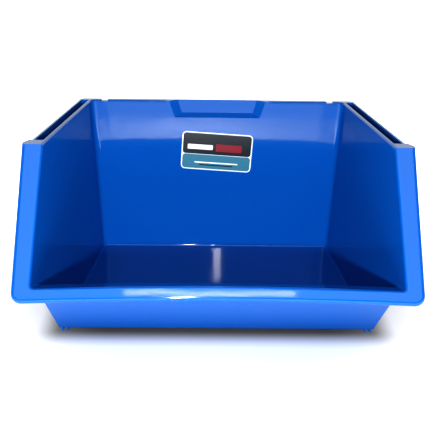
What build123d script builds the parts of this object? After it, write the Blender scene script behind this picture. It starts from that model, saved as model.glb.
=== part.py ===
"""Open-front stacking storage bin: one glossy polypropylene moulding and one label, in millimetres.

+Z is up, the open front faces -Y and +X is to the right. The origin is on the surface that the feet
stand on, under the middle of the bin's width and depth.

The moulding is built whole, so that every wall and round runs through it, and is then divided by
planes into its regions, which meet face to face: floor, walls, rails, jambs, lip, rim and feet.
"""

import os
from math import atan, cos, radians, sin, tan

from build123d import *

os.makedirs("parts", exist_ok=True)

# ---- Driving dimensions ----------------------------------------------------------------------------
# Tub
floor_width_back = 280.0  # inside, along the floor's back edge
floor_depth = 185.0  # inside, back edge to front edge
inner_height = 184.0  # floor to rim
sill_height = 78.1  # floor to the opening's lower corners
sill_reach = 67.1  # how far those corners stand in front of the floor
opening_angle = 54.0  # of the opening's plane above the horizontal, in degrees
side_draft = 1.9  # side walls lean outward, in degrees
side_flare = 4.55  # side walls spread towards the front, in degrees
back_lean = 1.5  # back wall leans backward, in degrees
wall = 2.5
corner_radius = 6.0  # upright inside corners at the back
floor_radius = 2.5  # inside, around the floor
heel_radius = 1.0  # outside, around the underside

# Front frame
frame_width = 363.0  # between the sharp edges that frame_edge rounds
lip_height = 15.0  # along the opening's plane
frame_depth = 11.0  # square to the opening's plane
frame_taper = 5.8  # the turned-back edge closes in by this much over its depth
frame_corner = 11.5
frame_edge = 3.5
crown = 3.3  # rise of the lip's middle over its ends
sill_fall = 20.4  # the ledge behind the lip slopes down to the front panel, in degrees
sill_depth = 21.5  # of that ledge, front to back
sill_corner = 3.0

# Side rails, each an open channel between the wall and an outer skirt
rail_wall = 3.4
channel_width = 8.2
channel_depth = 20.0
skirt = 2.2
rim_round = 2.5  # around the mouth and along the inner rim

# Back rim and finger recess
recess_width = 112.0  # at the rim, on the wall's inner face
recess_height = 19.6
recess_depth = 6.0
recess_side_slope = 1.6  # sideways per unit of depth
recess_ledge_slope = 0.78  # upward per unit of depth
recess_taper = 0.32  # the recess narrows downward, on each side, per unit of height
notch_width = 7.5
notch_depth = 1.6
notch_offset = 131.0

# Feet
foot_height = 5.0
foot_width = 7.0
foot_length = 14.0
foot_wall = 2.0

# Label on the inside of the back wall
label_width = 84.0
label_height = 46.0
label_corner = 5.0
label_thickness = 0.25
label_drop = 61.0  # rim to the label's middle
label_tilt = -3.5

# ---- Worked out from them --------------------------------------------------------------------------
floor_z = foot_height + wall
rim_z = floor_z + inner_height
sill_z = floor_z + sill_height
draft = tan(radians(side_draft))
flare = tan(radians(side_flare))
back_slope = tan(radians(back_lean))
run = cos(radians(opening_angle))
rise = sin(radians(opening_angle))
sill_slope = tan(radians(sill_fall))
front_slope = (sill_reach - sill_depth) / (sill_height - sill_depth * sill_slope)
rail_width = rail_wall + channel_width + skirt
ledge_z = rim_z - channel_depth - skirt
rim_depth = recess_depth + wall

# The bin's foremost point is on the lip's nose and its rearmost on the back rim
lean_in = atan(frame_taper / frame_depth)
nose = run / tan((radians(90) - lean_in) / 2) + rise - 1
reach_back = inner_height * back_slope + rim_depth
reach_front = floor_depth + sill_reach + lip_height * run - frame_edge * nose
floor_back = (reach_front - reach_back) / 2
floor_front = floor_back - floor_depth
sill_y = floor_front - sill_reach
opening = Plane(origin=(0, sill_y, sill_z), x_dir=(1, 0, 0), z_dir=(0, -rise, run))
opening_height = (rim_z - sill_z) / rise
cap_back = sill_y + opening_height * run + frame_depth / rise
over = 30.0  # how far a cutting tool runs past what it cuts


def side_x(y, z, out=0.0):
    """Half width at a depth and a height, of the inner side face or of one that lies outside it."""
    return floor_width_back / 2 + draft * (z - floor_z) + flare * (floor_back - y) + out


def back_y(z, out=0.0):
    """Depth of the back wall's inner face at a height, or of a face that lies outside it."""
    return floor_back + back_slope * (z - floor_z) + out


def front_y(z, out=0.0):
    """Depth of the front panel's inner face at a height, or of a face that lies outside it."""
    return floor_front - front_slope * (z - floor_z) - out / cos(atan(front_slope))


def tub_outline(z, out):
    """Corners of the tub's plan at a height."""
    front, back = front_y(z, out), back_y(z, out)
    right = [(side_x(front, z, out), front), (side_x(back, z, out), back)]
    return right + [(-x, y) for x, y in reversed(right)]


def rail_outline(z, inner, outer, front, back):
    """A strip along the right side wall, between two distances from its inner face."""
    ends = [(front, inner), (front, outer), (back, outer), (back, inner)]
    return [(side_x(y, z, out), y) for y, out in ends]


def arched(corners, crest, radius):
    """An upright-sided outline with an arched bottom edge and rounded lower corners."""
    with BuildSketch() as outline:
        with BuildLine():
            Polyline(*corners)
            ThreePointArc(corners[-1], (0, crest), corners[0])
        make_face()
        fillet(outline.vertices().group_by(Axis.Y)[0], radius)
    return outline.sketch_local


def frame_section(depth, inset=0.0):
    """The frame's outline at a depth behind the opening's plane, or one that lies inside it."""
    inset += depth * frame_taper / frame_depth
    half, bottom, top = frame_width / 2 - inset, inset - lip_height, opening_height + over
    corners = [(half, bottom), (half, top), (-half, top), (-half, bottom)]
    return opening.offset(-depth) * arched(corners, bottom + crown, frame_corner - inset)


def mouth_section(back, out, top):
    """The mouth's outline between the side walls, this far back along the ledge behind the lip."""
    y, z = sill_y + back, sill_z - back * sill_slope
    right = [(side_x(y + v * run, z + v * rise, out), v) for v in (-out, top)]
    corners = right + [(-x, v) for x, v in reversed(right)]
    plane = Plane(origin=(0, y, z), x_dir=(1, 0, 0), z_dir=opening.z_dir)
    return plane * arched(corners, crown - out, sill_corner + out)


def recess_outline(depth, out):
    """The recess at a depth behind the back wall's inner face, measured down from the rim."""
    side = recess_width / 2 - recess_side_slope * depth + out * (1 + recess_side_slope**2) ** 0.5
    ledge = recess_ledge_slope * depth - out * (1 + recess_ledge_slope**2) ** 0.5
    bottom = ledge - recess_height
    low, high = side + recess_taper * bottom, side + recess_taper * over
    return [(-low, bottom), (low, bottom), (high, over), (-high, over)]


def upright_back_edges(part):
    """The two upright edges at the back of a tapered block."""
    steep = part.edges().filter_by(lambda e: abs(e.tangent_at(0.5).Z) > 0.95)
    return steep.group_by(Axis.Y)[-1]


# ---- Blocks and cutting tools of the moulding ------------------------------------------------------
with BuildPart() as tub:
    for height in (foot_height, rim_z):
        with BuildSketch(Plane.XY.offset(height)):
            with BuildLine():
                Polyline(*tub_outline(height, wall), close=True)
            make_face()
    loft(ruled=True)
    fillet(upright_back_edges(tub), corner_radius + wall)
    fillet(tub.faces().sort_by(Axis.Z)[0].edges(), heel_radius)

with BuildPart() as cavity:
    for height in (floor_z, rim_z + over):
        with BuildSketch(Plane.XY.offset(height)):
            with BuildLine():
                Polyline(*tub_outline(height, 0), close=True)
            make_face()
    loft(ruled=True)
    fillet(upright_back_edges(cavity), corner_radius)
    fillet(cavity.faces().sort_by(Axis.Z)[0].edges(), floor_radius)

with BuildPart() as rails:
    for height in (ledge_z, rim_z):
        with BuildSketch(Plane.XY.offset(height)):
            with BuildLine():
                Polyline(*rail_outline(height, 0, rail_width, sill_y, back_y(height, wall)), close=True)
            make_face()
    loft(ruled=True)
    mirror(about=Plane.YZ)

with BuildPart() as channels:
    for height in (rim_z - channel_depth, rim_z + over):
        with BuildSketch(Plane.XY.offset(height)):
            with BuildLine():
                Polyline(
                    *rail_outline(height, rail_wall, rail_width - skirt, cap_back, back_y(height)),
                    close=True,
                )
            make_face()
    loft(ruled=True)
    mirror(about=Plane.YZ)

# Each jamb is hollow below its cap
with BuildPart() as jamb_cores:
    for height in (sill_z, rim_z - wall):
        with BuildSketch(Plane.XY.offset(height)):
            with BuildLine():
                Polyline(
                    *rail_outline(height, rail_wall, rail_width - skirt, sill_y, cap_back - skirt),
                    close=True,
                )
            make_face()
    loft(ruled=True)
    split(bisect_by=opening.offset(-wall), keep=Keep.BOTTOM)
    mirror(about=Plane.YZ)

# The frame is a flat face in the opening's plane, with an edge turned back and inward all round
with BuildPart() as frame:
    loft([frame_section(depth) for depth in (0, frame_depth)], ruled=True)
    fillet(frame.faces().filter_by(opening).sort_by(Axis.Y)[0].edges(), frame_edge)

with BuildPart() as frame_hollow:
    loft([frame_section(depth, wall / cos(lean_in)) for depth in (wall, frame_depth + wall)], ruled=True)

with BuildPart() as jamb_caps:
    front = sill_y + opening_height * run
    with BuildSketch(Plane.XY.offset(rim_z)):
        with BuildLine():
            Polyline(
                (side_x(front, rim_z), front),
                (frame_width / 2 - wall, front + wall),
                (frame_width / 2 - wall - frame_taper, cap_back),
                (side_x(cap_back, rim_z), cap_back),
                close=True,
            )
        make_face()
    extrude(amount=-wall)
    mirror(about=Plane.YZ)

# The ledge runs from the lip back to the front panel, between the side walls
with BuildPart() as sill:
    loft([mouth_section(back, wall, 2 * sill_depth) for back in (0, sill_depth + wall)], ruled=True)

with BuildPart() as mouth:
    ends = (-frame_depth, sill_depth + wall)
    loft([mouth_section(back, 0, opening_height + over) for back in ends], ruled=True)

# ---- The moulding, whole ---------------------------------------------------------------------------
back_face = Plane(origin=(0, back_y(rim_z), rim_z), x_dir=(1, 0, 0), z_dir=(0, -1, back_slope))

with BuildPart() as recess_block:
    for depth in (0, recess_depth + wall):
        with BuildSketch(back_face.offset(-depth)):
            with BuildLine():
                Polyline(*recess_outline(depth, wall), close=True)
            make_face()
    loft(ruled=True)
    split(bisect_by=Plane.XY.offset(rim_z), keep=Keep.BOTTOM)

with BuildPart() as recess:
    for depth in (0, recess_depth):
        with BuildSketch(back_face.offset(-depth)):
            with BuildLine():
                Polyline(*recess_outline(depth, 0), close=True)
            make_face()
    loft(ruled=True)

with BuildPart() as rear_flange:
    with BuildSketch(Plane.XY.offset(rim_z)):
        with BuildLine():
            back = back_y(rim_z)
            half = side_x(back, rim_z, rail_width)
            Polyline(
                (half, back), (half, back + rim_depth), (-half, back + rim_depth), (-half, back), close=True
            )
        make_face()
    extrude(amount=-wall)
    fillet(rear_flange.edges().filter_by(Axis.Z).group_by(Axis.Y)[-1], corner_radius)

with BuildPart() as notches:
    with BuildSketch(Plane.XY.offset(rim_z)):
        with Locations((-notch_offset, back_y(rim_z)), (notch_offset, back_y(rim_z))):
            Rectangle(notch_width, 2 * (rim_depth + over))
    extrude(amount=-notch_depth)
    split(bisect_by=Plane.XZ.offset(-back_y(rim_z) + rim_round + notch_width), keep=Keep.BOTTOM)


def around_mouth(edge):
    """Whether an edge lies in the opening's plane, around the mouth."""
    middle = edge.center()
    return abs(opening.to_local_coords(middle).Z) < 0.01 and abs(middle.X) < side_x(middle.Y, middle.Z) + 0.01


def on_inner_rim(edge):
    """Whether an edge lies on the rim along the side or back walls' inner faces."""
    middle = edge.center()
    inside = min(side_x(middle.Y, rim_z) - abs(middle.X), back_y(rim_z) - middle.Y)
    return abs(middle.Z - rim_z) < 0.01 and -0.01 < inside < corner_radius / 2


with BuildPart() as moulding:
    add(frame.part)
    add(frame_hollow.part, mode=Mode.SUBTRACT)
    add(tub.part)
    add(rails.part)
    add(jamb_caps.part)
    add(sill.part)
    add(rear_flange.part)
    split(bisect_by=opening, keep=Keep.BOTTOM)
    split(bisect_by=Plane.XY.offset(rim_z), keep=Keep.BOTTOM)
    add(jamb_cores.part, mode=Mode.SUBTRACT)
    add(channels.part, mode=Mode.SUBTRACT)
    add(cavity.part, mode=Mode.SUBTRACT)
    add(mouth.part, mode=Mode.SUBTRACT)
    fillet(moulding.edges().filter_by(around_mouth) + moulding.edges().filter_by(on_inner_rim), rim_round)
    add(notches.part, mode=Mode.SUBTRACT)
    add(recess_block.part)
    add(recess.part, mode=Mode.SUBTRACT)

# ---- The moulding's regions ------------------------------------------------------------------------
def side_plane(hand, out):
    """A plane parallel to a side wall's inner face, facing away from the middle of the bin."""
    return Plane(
        origin=(hand * side_x(floor_back, floor_z, out), floor_back, floor_z),
        x_dir=(0, draft, flare),
        z_dir=(hand, flare, -draft),
    )


def region(*cuts, less=()):
    """The moulding, cut by planes that each keep the side they face or the one behind, less other regions."""
    with BuildPart() as piece:
        add(moulding.part)
        for plane, keep in cuts:
            split(bisect_by=plane, keep=keep)
        for other in less:
            add(other.part, mode=Mode.SUBTRACT)
    return piece


front_of, behind = Keep.TOP, Keep.BOTTOM
floor_top = Plane.XY.offset(floor_z)
ledge = Plane.XY.offset(ledge_z)
band_z = rim_z - max(channel_depth + skirt, recess_height + 2 * wall)
band = Plane.XY.offset(band_z)
back_corner = Plane(
    origin=(0, back_y(floor_z, -corner_radius), floor_z), x_dir=(1, 0, 0), z_dir=(0, -1, back_slope)
)
recess_side = recess_width / 2 + 2 * rim_depth
recess_planes = [Plane.YZ.offset(-recess_side), Plane.YZ.offset(recess_side)]
cap_end = Plane(origin=(0, cap_back, 0), x_dir=(1, 0, 0), z_dir=(0, -1, 0))
frame_back = opening.offset(-frame_depth)
face_back = opening.offset(-wall)
under_sill = Plane(
    origin=opening.origin - opening.y_dir * 1.25 * wall, x_dir=(1, 0, 0), z_dir=(0, sill_slope, 1)
)
lip_top = Plane(
    origin=opening.origin + opening.y_dir * (crown + sill_corner), x_dir=(1, 0, 0), z_dir=opening.y_dir
)
above_floor = (floor_top, front_of)
ahead = (back_corner, front_of)
between_sides = [(side_plane(hand, -floor_radius), behind) for hand in (-1, 1)]
front_lip = region((face_back, front_of), (lip_top, behind))
lip_ledge = region(above_floor, ahead, (face_back, behind), (under_sill, front_of), *between_sides)

pieces = {
    "floor_panel": region((floor_top, behind)),
    "back_wall": region(above_floor, (back_corner, behind), (band, behind)),
    "finger_recess": region(
        (back_corner, behind), (band, front_of), (recess_planes[0], front_of), (recess_planes[1], behind)
    ),
    "left_back_rim": region((back_corner, behind), (band, front_of), (recess_planes[0], behind)),
    "right_back_rim": region((back_corner, behind), (band, front_of), (recess_planes[1], front_of)),
    "front_lip": front_lip,
    "lip_ledge": lip_ledge,
    "lip_return": region((face_back, behind), (frame_back, front_of), (under_sill, behind)),
    "front_panel": region(above_floor, ahead, (frame_back, behind), (under_sill, behind), *between_sides),
}

for side, hand in (("left", -1), ("right", 1)):
    half = (Plane.YZ, front_of if hand > 0 else behind)
    wall_out, skirt_in = side_plane(hand, rail_wall), side_plane(hand, rail_wall + channel_width)
    rail = (half, ahead, (cap_end, behind), (ledge, front_of))
    pieces[f"{side}_jamb"] = region(
        half, (frame_back, front_of), (under_sill, front_of), (ledge, behind), less=(front_lip, lip_ledge)
    )
    pieces[f"{side}_jamb_head"] = region(half, (ledge, front_of), (cap_end, front_of))
    pieces[f"{side}_side_wall"] = region(
        half,
        above_floor,
        ahead,
        (frame_back, behind),
        (ledge, behind),
        (side_plane(hand, -floor_radius), front_of),
    )
    pieces[f"{side}_rail_wall"] = region(*rail, (wall_out, behind))
    pieces[f"{side}_channel_floor"] = region(*rail, (wall_out, front_of), (skirt_in, behind))
    pieces[f"{side}_rail_skirt"] = region(*rail, (skirt_in, front_of))

# ---- Feet: a thin-walled shoe at each corner, open to the front ------------------------------------
foot_places = {"front": floor_front + heel_radius, "rear": floor_back - foot_length - heel_radius}
for end, front in foot_places.items():
    for side, hand in (("left", -1), ("right", 1)):
        middle = side_x(front, foot_height, wall - heel_radius - foot_width / 2)
        with BuildPart() as foot:
            with BuildSketch():
                with Locations((hand * middle, front + foot_length / 2)):
                    Rectangle(foot_width, foot_length)
                with Locations((hand * middle, front + (foot_length - foot_wall) / 2)):
                    Rectangle(foot_width - 2 * foot_wall, foot_length - foot_wall, mode=Mode.SUBTRACT)
            extrude(amount=foot_height)
        pieces[f"{end}_{side}_foot"] = foot

# ---- Label, stuck on the back wall's inner face ----------------------------------------------------
with BuildPart() as label:
    with BuildSketch(back_face.offset(0)):
        with Locations(Location((0, -label_drop, 0), (0, 0, label_tilt))):
            RectangleRounded(label_width, label_height, label_corner)
    extrude(amount=label_thickness)
pieces["label"] = label

for name, piece in pieces.items():
    piece.part.label = name
    export_step(piece.part, f"parts/{name}.step")
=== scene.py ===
"""Looks and studio of an open-front stacking storage bin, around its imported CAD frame."""

from math import radians

import bpy
from mathutils import Matrix, Vector


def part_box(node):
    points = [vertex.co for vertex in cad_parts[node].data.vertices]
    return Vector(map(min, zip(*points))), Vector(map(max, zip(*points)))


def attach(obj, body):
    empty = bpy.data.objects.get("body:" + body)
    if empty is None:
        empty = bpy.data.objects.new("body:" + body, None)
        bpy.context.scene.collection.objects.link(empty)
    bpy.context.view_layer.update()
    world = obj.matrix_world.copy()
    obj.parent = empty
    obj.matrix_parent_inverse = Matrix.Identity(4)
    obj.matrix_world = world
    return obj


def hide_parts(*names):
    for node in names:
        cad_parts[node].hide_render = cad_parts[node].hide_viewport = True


bl_info = {
    "name": "Storage Bin Studio",
    "version": (1, 0, 0),
    "blender": (4, 5, 0),
    "location": "View3D > Sidebar > Storage Bin",
    "description": "Gives a moulded storage bin its plastic, its printed label and a studio",
    "category": "Object",
}

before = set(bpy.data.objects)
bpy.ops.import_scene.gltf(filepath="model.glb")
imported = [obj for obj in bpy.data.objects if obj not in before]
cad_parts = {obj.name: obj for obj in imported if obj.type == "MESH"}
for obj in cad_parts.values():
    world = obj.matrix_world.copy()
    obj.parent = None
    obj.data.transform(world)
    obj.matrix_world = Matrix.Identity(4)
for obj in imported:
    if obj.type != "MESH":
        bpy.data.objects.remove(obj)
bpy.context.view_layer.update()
MM = 0.001
UPRIGHT = radians(90)
BODY = "root"
LABEL_NODE = "label"
SENSOR_WIDTH = 36  # of the camera, in millimetres
BOARD_SIZE = 8  # of the board the bin stands on, in metres
CORNER_SEGMENTS = 6  # in each rounded corner of the label's plates


# ---- Small helpers ---------------------------------------------------------------------------------
def linear(hex_colour):
    """An sRGB hex colour as linear red, green, blue and alpha."""
    channels = [int(hex_colour[i : i + 2], 16) / 255 for i in (1, 3, 5)]
    return [c / 12.92 if c <= 0.04045 else ((c + 0.055) / 1.055) ** 2.4 for c in channels] + [1.0]


def add_node(tree, kind, links=(), **fields):
    """Adds a node, sets its fields and sockets, and links sockets given as (input, node, output)."""
    node = tree.nodes.new(kind)
    for key, value in fields.items():
        if hasattr(node, key):
            setattr(node, key, value)
        else:
            node.inputs[key.replace("_", " ")].default_value = value
    for socket, source, output in links:
        tree.links.new(source.outputs[output], node.inputs[socket])
    return node


def new_material(name):
    """A material with an empty node tree."""
    material = bpy.data.materials.new(name)
    material.use_nodes = True
    material.node_tree.nodes.clear()
    return material, material.node_tree


def settings():
    """The bin's settings in the open scene."""
    return bpy.context.scene.storage_bin


# ---- Settings --------------------------------------------------------------------------------------
class PlasticSettings(bpy.types.PropertyGroup):
    """The moulding's colour and surface"""

    colour: bpy.props.StringProperty(
        name="Colour", description="Moulded colour, as sRGB hex", default="#0859aa"
    )
    roughness: bpy.props.FloatProperty(
        name="Roughness",
        description="Roughness of the polished faces",
        default=0.05,
        min=0,
        max=1,
        subtype="FACTOR",
    )
    ripple: bpy.props.FloatProperty(
        name="Ripple",
        description="Size of the slow flow ripples",
        default=0.045,
        subtype="DISTANCE",
        unit="LENGTH",
    )
    speckle: bpy.props.FloatProperty(
        name="Speckle",
        description="Size of the fine surface grain",
        default=0.0012,
        subtype="DISTANCE",
        unit="LENGTH",
    )


class LabelSettings(bpy.types.PropertyGroup):
    """The label's size, place and inks"""

    width: bpy.props.FloatProperty(
        name="Width", description="Label width", default=0.084, unit="LENGTH"
    )
    height: bpy.props.FloatProperty(
        name="Height", description="Label height", default=0.046, unit="LENGTH"
    )
    corner: bpy.props.FloatProperty(
        name="Corner", description="Corner radius", default=0.005, unit="LENGTH"
    )
    thickness: bpy.props.FloatProperty(
        name="Thickness", description="Film thickness", default=0.00025, unit="LENGTH"
    )
    print_height: bpy.props.FloatProperty(
        name="Print",
        description="How proud the printed fields stand",
        default=0.00004,
        unit="LENGTH",
        precision=5,
    )
    lean: bpy.props.FloatProperty(
        name="Lean",
        description="Backward lean of the wall it sits on",
        default=radians(1.5),
        subtype="ANGLE",
    )
    tilt: bpy.props.FloatProperty(
        name="Tilt", description="How askew it was stuck on", default=radians(-3.5), subtype="ANGLE"
    )
    paper: bpy.props.StringProperty(
        name="Paper", description="Border colour, as sRGB hex", default="#eef4f8"
    )
    dark: bpy.props.StringProperty(
        name="Dark", description="Upper field, as sRGB hex", default="#101c28"
    )
    teal: bpy.props.StringProperty(
        name="Teal", description="Lower field, as sRGB hex", default="#3f7f96"
    )
    red: bpy.props.StringProperty(
        name="Red", description="Accent block, as sRGB hex", default="#8a1c2c"
    )


class StudioSettings(bpy.types.PropertyGroup):
    """The camera, the lamps, the room and the board"""

    eye: bpy.props.FloatVectorProperty(
        name="Eye",
        description="Camera place",
        default=(-0.0105, -0.6209, 0.3618),
        size=3,
        subtype="XYZ",
        unit="LENGTH",
    )
    pitch: bpy.props.FloatProperty(
        name="Pitch", description="Camera looks down", default=radians(22.92), subtype="ANGLE"
    )
    yaw: bpy.props.FloatProperty(
        name="Yaw", description="Camera turns left", default=radians(-0.92), subtype="ANGLE"
    )
    roll: bpy.props.FloatProperty(
        name="Roll", description="Camera tips", default=radians(0.87), subtype="ANGLE"
    )
    lens: bpy.props.FloatProperty(
        name="Lens", description="Focal length in millimetres", default=53.95, unit="CAMERA"
    )
    flash_power: bpy.props.FloatProperty(
        name="Flash", description="Lamp by the camera", default=5.2, unit="POWER"
    )
    softbox_power: bpy.props.FloatProperty(
        name="Softbox", description="Large front softbox above", default=6.0, unit="POWER"
    )
    strip_power: bpy.props.FloatProperty(
        name="Strip", description="Thin strip lamp", default=0.22, unit="POWER"
    )
    spark_power: bpy.props.FloatProperty(
        name="Spark", description="Tiny lamp above the camera", default=0.5, unit="POWER"
    )
    back_power: bpy.props.FloatProperty(
        name="Backlight", description="Wide panel behind", default=6.0, unit="POWER"
    )
    room: bpy.props.FloatProperty(
        name="Room", description="Brightness of the room", default=0.08, min=0
    )
    # The board's glow by the bin is kept low, a painted shade round it.
    board_near: bpy.props.FloatProperty(
        name="Near", description="Glow of the board by the bin", default=0.0, min=0
    )
    board_far: bpy.props.FloatProperty(
        name="Far", description="Glow of the board far away", default=1.0, min=0
    )


# ---- Materials -------------------------------------------------------------------------------------
def polypropylene():
    """Polypropylene, injection moulded in a polished tool."""
    # Polished steel leaves the plastic glossy, with sharp highlights that bend slightly where it flowed
    # and shrank. The ripples are centimetres across, and the grain is as coarse as it needs to show.
    ripple_rise, grain_rise = 1.2 * MM, 0.1 * MM
    smoothest, roughest = 0.8, 1.3
    chosen = settings().plastic
    material, tree = new_material("moulded_polypropylene")
    place = add_node(tree, "ShaderNodeTexCoord")
    ripple = add_node(
        tree,
        "ShaderNodeTexNoise",
        [("Vector", place, "Object")],
        Scale=1 / chosen.ripple,
        Detail=1.5,
        Roughness=0.4,
    )
    grain = add_node(
        tree,
        "ShaderNodeTexNoise",
        [("Vector", place, "Object")],
        Scale=1 / chosen.speckle,
        Detail=3.0,
        Roughness=0.6,
    )
    slow = add_node(
        tree,
        "ShaderNodeBump",
        [("Height", ripple, "Fac")],
        Strength=0.11,
        Distance=ripple_rise,
    )
    fine = add_node(
        tree,
        "ShaderNodeBump",
        [("Height", grain, "Fac"), ("Normal", slow, "Normal")],
        Strength=0.04,
        Distance=grain_rise,
    )
    rough = add_node(
        tree,
        "ShaderNodeMapRange",
        [("Value", ripple, "Fac")],
        To_Min=chosen.roughness * smoothest,
        To_Max=chosen.roughness * roughest,
    )
    shader = add_node(
        tree,
        "ShaderNodeBsdfPrincipled",
        [("Roughness", rough, "Result"), ("Normal", fine, "Normal")],
        Base_Color=linear(chosen.colour),
        IOR=1.49,
        Specular_IOR_Level=0.5,
    )
    add_node(tree, "ShaderNodeOutputMaterial", [("Surface", shader, "BSDF")])
    return material


def printed_film(name, colour):
    """Vinyl film, printed in one ink and laminated."""
    # The laminate gives a softer shine than the wall behind it, and the ink varies a little in depth.
    grain_size, grain_rise, ink_depth = 1.5 * MM, 0.1 * MM, 0.9
    ink = linear(colour)
    deep_ink = [c * ink_depth for c in ink[:3]] + [1.0]
    material, tree = new_material(name)
    place = add_node(tree, "ShaderNodeTexCoord")
    grain = add_node(
        tree,
        "ShaderNodeTexNoise",
        [("Vector", place, "Object")],
        Scale=1 / grain_size,
        Detail=2.0,
        Roughness=0.5,
    )
    tint = add_node(
        tree,
        "ShaderNodeMix",
        [("Factor", grain, "Fac")],
        data_type="RGBA",
        blend_type="MIX",
    )
    tint.inputs["A"].default_value = ink
    tint.inputs["B"].default_value = deep_ink
    bump = add_node(
        tree,
        "ShaderNodeBump",
        [("Height", grain, "Fac")],
        Strength=0.05,
        Distance=grain_rise,
    )
    shader = add_node(
        tree,
        "ShaderNodeBsdfPrincipled",
        [("Base Color", tint, "Result"), ("Normal", bump, "Normal")],
        Roughness=0.3,
        IOR=1.5,
    )
    add_node(tree, "ShaderNodeOutputMaterial", [("Surface", shader, "BSDF")])
    return material


def glowing_board_painted_shade():
    """Opal acrylic board, cast and matt, glowing as if lit from below, with painted shade round the
    bin.
    """
    # Its glow fades from white to unlit towards the bin, a painted shade round it. The dark band round
    # the feet is a painted shadow, by the distance from the bin's footprint, and adds to the shadow
    # that the lamps cast.
    glow_from, glow_to = 0.12, 0.42
    footprint_middle, footprint_half = (0, 0.03, 0), (0.155, 0.09, 0)
    band, band_grey, board_grey = 0.032, 0.1, 0.92
    chosen = settings().studio
    material, tree = new_material("opal_acrylic_board_painted_shade")
    place = add_node(tree, "ShaderNodeTexCoord")
    reach = add_node(
        tree, "ShaderNodeVectorMath", [("Vector", place, "Object")], operation="LENGTH"
    )
    # Painted shade: the board's glow drops to unlit near the bin.
    glow = add_node(
        tree,
        "ShaderNodeMapRange",
        [("Value", reach, "Value")],
        interpolation_type="SMOOTHSTEP",
        From_Min=glow_from,
        From_Max=glow_to,
        To_Min=chosen.board_near,
        To_Max=chosen.board_far,
    )
    shift = add_node(tree, "ShaderNodeVectorMath", [(0, place, "Object")], operation="SUBTRACT")
    shift.inputs[1].default_value = footprint_middle
    mirrored = add_node(tree, "ShaderNodeVectorMath", [(0, shift, "Vector")], operation="ABSOLUTE")
    beyond = add_node(
        tree, "ShaderNodeVectorMath", [(0, mirrored, "Vector")], operation="SUBTRACT"
    )
    beyond.inputs[1].default_value = footprint_half
    outside = add_node(tree, "ShaderNodeVectorMath", [(0, beyond, "Vector")], operation="MAXIMUM")
    gap = add_node(tree, "ShaderNodeVectorMath", [(0, outside, "Vector")], operation="LENGTH")
    # Painted shadow: the board turns dark grey in a band round the bin's footprint.
    shade = add_node(
        tree,
        "ShaderNodeMapRange",
        [("Value", gap, "Value")],
        interpolation_type="SMOOTHSTEP",
        From_Max=band,
        To_Min=band_grey,
        To_Max=board_grey,
    )
    shader = add_node(
        tree,
        "ShaderNodeBsdfPrincipled",
        [("Emission Strength", glow, "Result"), ("Base Color", shade, "Result")],
        Roughness=0.9,
        Emission_Color=(1, 1, 1, 1),
    )
    add_node(tree, "ShaderNodeOutputMaterial", [("Surface", shader, "BSDF")])
    return material


# ---- Pieces ----------------------------------------------------------------------------------------
class STORAGEBIN_OT_moulding(bpy.types.Operator):
    """Give every region of the moulding its glossy plastic"""

    bl_idname = "storagebin.moulding"
    bl_label = "Finish Moulding"

    def execute(self, context):
        plastic = polypropylene()
        for name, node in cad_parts.items():
            if name != LABEL_NODE:
                node.data.materials.clear()
                node.data.materials.append(plastic)
        return {"FINISHED"}


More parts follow.
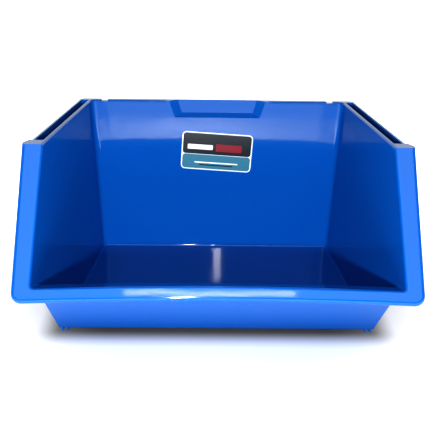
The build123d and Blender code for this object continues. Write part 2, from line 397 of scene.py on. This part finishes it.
class STORAGEBIN_OT_label(bpy.types.Operator):
    """Build the printed label: a film with plain printed fields and no lettering"""

    bl_idname = "storagebin.label"
    bl_label = "Build Label"

    def execute(self, context):
        chosen = settings().label
        paper = printed_film("printed_vinyl_white", chosen.paper)
        dark = printed_film("printed_vinyl_black", chosen.dark)
        teal = printed_film("printed_vinyl_teal", chosen.teal)
        red = printed_film("printed_vinyl_red", chosen.red)
        wide, high, film = chosen.width, chosen.height, chosen.thickness
        border, divider, field_corner = 1.4 * MM, 0.6 * MM, 3.5 * MM
        upper_share = 0.55
        field = wide - 2 * border
        upper = upper_share * high
        lower = high - 2 * border - upper - divider
        top = high / 2 - border - upper / 2
        bottom = -high / 2 + border + lower / 2
        face, thin, thick = film / 2, chosen.print_height, 3 * chosen.print_height
        block, long_bar, short_bar = top - 4 * MM, bottom - 1 * MM, bottom - 4 * MM
        fields = [
            self.slab((0, 0), (wide, high), chosen.corner, -face, film, paper),
            self.slab((0, top), (field, upper), field_corner, face, thin, dark),
            self.slab((0, bottom), (field, lower), field_corner, face, thin, teal),
            self.slab((14 * MM, block), (31 * MM, 9 * MM), 1.2 * MM, face, thick, red),
            self.slab((-20 * MM, block), (30 * MM, 6 * MM), 1.0 * MM, face, thick, paper),
            self.slab((0, long_bar), (52 * MM, 1.6 * MM), 0.7 * MM, face, thick, paper),
            self.slab((0, short_bar), (40 * MM, 1.2 * MM), 0.5 * MM, face, thick, dark),
        ]
        bpy.ops.object.select_all(action="DESELECT")
        for piece in fields:
            piece.select_set(True)
        context.view_layer.objects.active = fields[0]
        bpy.ops.object.join()
        sticker = context.object
        sticker.name = "wall_label"
        lowest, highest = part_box(LABEL_NODE)
        middle = (Vector(lowest) + Vector(highest)) / 2
        stand = Matrix.Rotation(UPRIGHT - chosen.lean, 4, "X") @ Matrix.Rotation(chosen.tilt, 4, "Z")
        sticker.matrix_world = Matrix.Translation(middle) @ stand
        bpy.ops.object.transform_apply(location=True, rotation=True, scale=True)
        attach(sticker, BODY)
        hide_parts(LABEL_NODE)
        return {"FINISHED"}

    def slab(self, place, size, corner, base, height, material):
        """A thin plate with rounded corners, lying on a level."""
        bpy.ops.object.select_all(action="DESELECT")
        bpy.ops.mesh.primitive_plane_add(size=1, location=(place[0], place[1], base))
        plate = bpy.context.object
        plate.scale = (size[0], size[1], 1)
        bpy.ops.object.transform_apply(location=True, rotation=False, scale=True)
        bpy.ops.object.mode_set(mode="EDIT")
        bpy.ops.mesh.select_all(action="SELECT")
        bpy.ops.mesh.bevel(
            offset=corner, offset_type="OFFSET", segments=CORNER_SEGMENTS, affect="VERTICES"
        )
        bpy.ops.mesh.select_all(action="SELECT")
        bpy.ops.mesh.extrude_region_move(TRANSFORM_OT_translate={"value": (0, 0, height)})
        bpy.ops.mesh.select_all(action="SELECT")
        bpy.ops.mesh.normals_make_consistent(inside=False)
        bpy.ops.object.mode_set(mode="OBJECT")
        plate.data.materials.append(material)
        return plate


class STORAGEBIN_OT_studio(bpy.types.Operator):
    """Set up the board, the lights, the room and the camera"""

    bl_idname = "storagebin.studio"
    bl_label = "Build Studio"

    def execute(self, context):
        chosen = settings().studio
        bpy.ops.object.select_all(action="DESELECT")
        bpy.ops.mesh.primitive_plane_add(size=BOARD_SIZE, location=(0, 0, 0))
        board = context.object
        board.name = "board"
        board.data.materials.append(glowing_board_painted_shade())
        self.lamp(
            "flash",
            place=(-0.05, -0.72, 0.28),
            target=(0, 0, 0.1),
            size=(0.03, 0.03),
            power=chosen.flash_power,
        )
        self.lamp(
            "softbox",
            place=(0, -1.1, 1.15),
            target=(0, -0.1, 0.1),
            size=(1.4, 1.0),
            power=chosen.softbox_power,
        )
        self.lamp(
            "strip",
            place=(0, -1.134, 1.0),
            target=(0, -0.13, 0.083),
            size=(0.5, 0.006),
            power=chosen.strip_power,
        )
        self.lamp(
            "spark",
            place=(0.015, -0.72, 0.5),
            target=(0, 0, 0.05),
            size=(0.012, 0.14),
            power=chosen.spark_power,
        )
        self.lamp(
            "backlight",
            place=(0, 1.2, 0.7),
            target=(0, 0.1, 0.19),
            size=(2.4, 0.8),
            power=chosen.back_power,
        )
        self.room(context, chosen.room)
        self.camera(context, chosen)
        return {"FINISHED"}

    def lamp(self, name, place, target, size, power):
        """A rectangular area lamp, facing a point."""
        bpy.ops.object.light_add(type="AREA", location=place)
        lamp = bpy.context.object
        lamp.name = name
        lamp.data.shape = "RECTANGLE"
        lamp.data.size, lamp.data.size_y = size
        lamp.data.energy = power
        aim = Vector(target) - Vector(place)
        lamp.rotation_euler = aim.to_track_quat("-Z", "Y").to_euler()

    def room(self, context, brightness):
        """A dim room that the camera sees as white."""
        world = bpy.data.worlds.new("white_room")
        world.use_nodes = True
        tree = world.node_tree
        tree.nodes.clear()
        light = add_node(tree, "ShaderNodeBackground", Color=(1, 1, 1, 1), Strength=brightness)
        seen = add_node(tree, "ShaderNodeBackground", Color=(1, 1, 1, 1), Strength=1.0)
        ray = add_node(tree, "ShaderNodeLightPath")
        mix = add_node(
            tree,
            "ShaderNodeMixShader",
            [("Fac", ray, "Is Camera Ray"), (1, light, 0), (2, seen, 0)],
        )
        add_node(tree, "ShaderNodeOutputWorld", [("Surface", mix, "Shader")])
        context.scene.world = world

    def camera(self, context, chosen):
        """The camera, and how the picture's tones are shown."""
        bpy.ops.object.camera_add()
        camera = context.object
        camera.name = "camera"
        camera.data.lens = chosen.lens
        camera.data.sensor_width = SENSOR_WIDTH
        turn = Matrix.Rotation(chosen.yaw, 4, "Z") @ Matrix.Rotation(UPRIGHT - chosen.pitch, 4, "X")
        turn = turn @ Matrix.Rotation(chosen.roll, 4, "Z")
        camera.matrix_world = Matrix.Translation(chosen.eye) @ turn
        context.scene.camera = camera
        context.scene.view_settings.view_transform = "Standard"
        context.scene.view_settings.look = "High Contrast"


# ---- Panel and registration ------------------------------------------------------------------------
class StorageBinSettings(bpy.types.PropertyGroup):
    """All of the bin's settings"""

    plastic: bpy.props.PointerProperty(
        name="Plastic", description="The moulding's finish", type=PlasticSettings
    )
    label: bpy.props.PointerProperty(
        name="Label", description="The label on the back wall", type=LabelSettings
    )
    studio: bpy.props.PointerProperty(
        name="Studio", description="The camera and the lights", type=StudioSettings
    )


class STORAGEBIN_PT_panel(bpy.types.Panel):
    """The bin's settings and steps"""

    bl_label = "Storage Bin"
    bl_idname = "STORAGEBIN_PT_panel"
    bl_space_type = "VIEW_3D"
    bl_region_type = "UI"
    bl_category = "Storage Bin"

    def draw(self, context):
        for operator in OPERATORS:
            self.layout.operator(operator.bl_idname)
        for group in (settings().plastic, settings().label, settings().studio):
            for name in group.__annotations__:
                self.layout.prop(group, name)


OPERATORS = (STORAGEBIN_OT_moulding, STORAGEBIN_OT_label, STORAGEBIN_OT_studio)
CLASSES = (
    PlasticSettings,
    LabelSettings,
    StudioSettings,
    StorageBinSettings,
    *OPERATORS,
    STORAGEBIN_PT_panel,
)


def register():
    """Registers the classes and hangs the settings on the scene."""
    for cls in CLASSES:
        bpy.utils.register_class(cls)
    bpy.types.Scene.storage_bin = bpy.props.PointerProperty(type=StorageBinSettings)


def unregister():
    """Takes the settings and the classes away again."""
    del bpy.types.Scene.storage_bin
    for cls in reversed(CLASSES):
        bpy.utils.unregister_class(cls)


def main():
    """Registers the add-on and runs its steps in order."""
    register()
    for operator in OPERATORS:
        group, name = operator.bl_idname.split(".")
        getattr(getattr(bpy.ops, group), name)()


if __name__ == "__main__":
    main()
